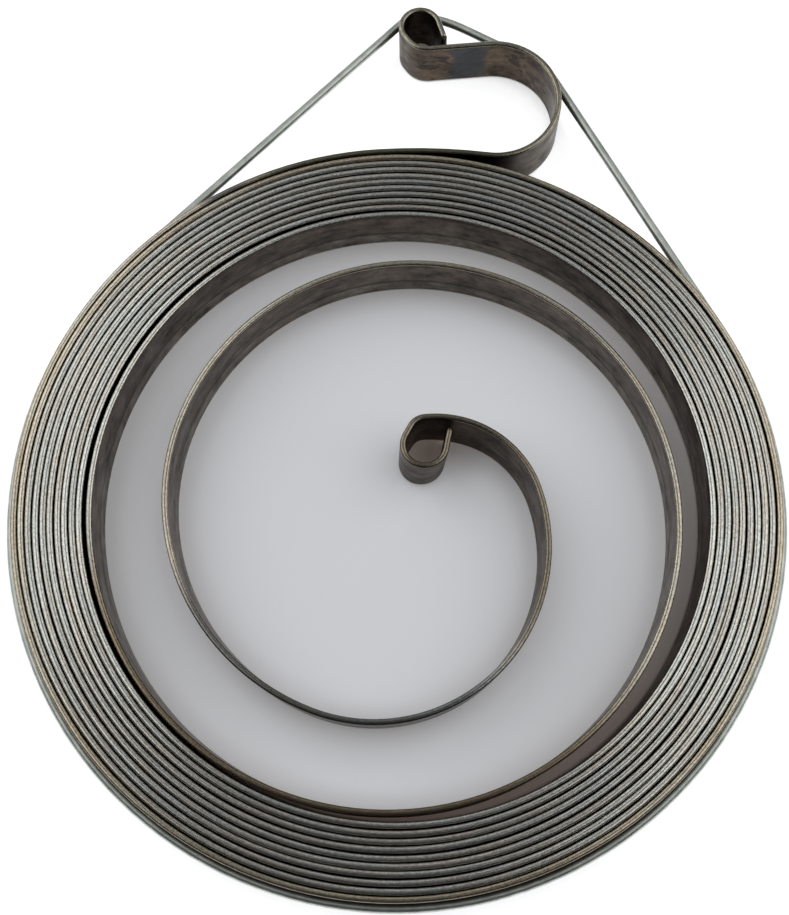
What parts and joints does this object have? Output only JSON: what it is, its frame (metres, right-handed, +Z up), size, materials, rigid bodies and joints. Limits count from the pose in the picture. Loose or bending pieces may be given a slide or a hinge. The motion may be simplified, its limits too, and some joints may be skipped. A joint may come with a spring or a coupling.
{
  "type": "recoil starter spring",
  "caption": "Flat spiral spring of steel strip, close wound with a free inner loop and a hook at each end, kept wound by a wire ring; it rewinds a pull start.",
  "frame": {"origin": "on the coil's axis, at the plane that the spring lies on", "axes": "+Z up along the coil's axis, +Y towards the outer hook, +X to the right of it"},
  "size_m": [0.0788, 0.0965, 0.0064],
  "materials": {
    "spring_steel": "tempered strip, dull brown-grey faces and worn bright edges",
    "zinc_wire": "drawn wire with a pale zinc coat"
  },
  "bodies": {
    "root": {"spring_strip": "spring_steel", "retaining_wire": "zinc_wire"}
  },
  "joints": []
}
